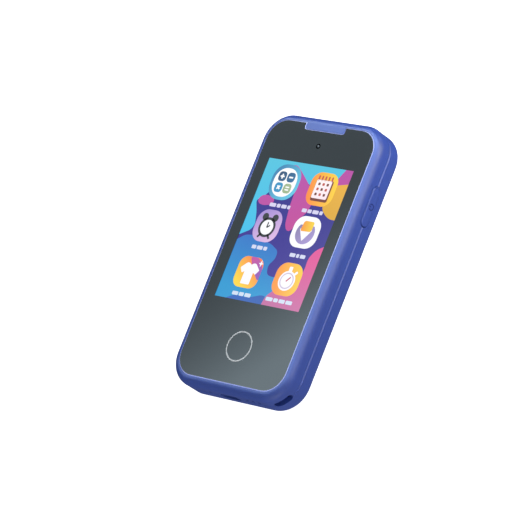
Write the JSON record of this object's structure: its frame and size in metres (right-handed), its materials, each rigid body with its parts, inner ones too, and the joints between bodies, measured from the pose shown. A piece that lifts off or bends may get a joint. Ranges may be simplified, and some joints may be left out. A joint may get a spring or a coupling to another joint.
{
  "type": "toy smartphone",
  "caption": "Blue toy smartphone with a dark glass front, colour touch screen, side power key, rear camera and a lanyard opening at each corner.",
  "frame": {"origin": "middle of the body's outline, on the plane of the back face that it rests on", "axes": "+X towards the side with the power key, +Y towards the camera end, +Z from the back face to the glass"},
  "size_m": [0.0605, 0.1128, 0.0144],
  "materials": {
    "blue_shell": "satin, fine moulded texture",
    "lens_glass": "gloss, hard coated, printed black behind",
    "adhesive": "matt",
    "display": "gloss",
    "light_guide": "satin white film",
    "pressed_steel": "pressed, bright",
    "flex_circuit": "satin",
    "circuit_board": "satin solder mask",
    "chip_plastic": "matt",
    "ceramic_parts": "matt with tinned ends",
    "dark_plastic": "satin",
    "optical_lens": "gloss",
    "pouch_foil": "satin foil",
    "connector_plastic": "satin",
    "lead_wire": "satin",
    "soft_rubber": "matt",
    "spring_metal": "gold flashed",
    "diffuser": "frosted",
    "black_gloss": "gloss, printed black behind",
    "screw_steel": "zinc plated"
  },
  "bodies": {
    "phone": {"front_housing": "blue_shell", "back_cover": "blue_shell", "cover_lens": "lens_glass", "lens_adhesive": "adhesive", "touch_sensor": "display", "home_touch_pad": "spring_metal", "lcd_panel": "display", "backlight_panel": "light_guide", "display_tray": "pressed_steel", "display_flex": "flex_circuit", "display_socket": "connector_plastic", "front_camera_holder": "dark_plastic", "front_camera_lens": "optical_lens", "front_camera_flex": "flex_circuit", "main_board": "circuit_board", "processor": "chip_plastic", "flash_memory": "chip_plastic", "power_manager": "chip_plastic", "audio_amplifier": "chip_plastic", "clock_crystal": "pressed_steel", "board_passives": "ceramic_parts", "charging_board": "circuit_board", "board_link_flex": "flex_circuit", "battery_cell": "pouch_foil", "battery_guard_board": "circuit_board", "battery_leads": "lead_wire", "battery_plug": "connector_plastic", "battery_socket": "connector_plastic", "battery_tape": "adhesive", "charging_port_shell": "pressed_steel", "charging_port_tongue": "dark_plastic", "microphone": "spring_metal", "microphone_boot": "soft_rubber", "speaker_box": "dark_plastic", "speaker_gasket": "soft_rubber", "speaker_contacts": "spring_metal", "power_switch_body": "dark_plastic", "power_switch_dome": "pressed_steel", "rear_window": "black_gloss", "rear_window_tape": "adhesive", "rear_camera_holder": "dark_plastic", "rear_camera_lens": "optical_lens", "rear_camera_flex": "flex_circuit", "flash_led": "diffuser", "board_screws": "screw_steel"},
    "key": {"power_key": "blue_shell", "power_switch_plunger": "connector_plastic"}
  },
  "joints": [
    {"name": "power_key_press", "type": "slide", "parent": "phone", "child": "key", "axis": [-1, 0, 0], "range_m": [0, 0.00035], "stiffness_N_per_m": 4000}
  ]
}
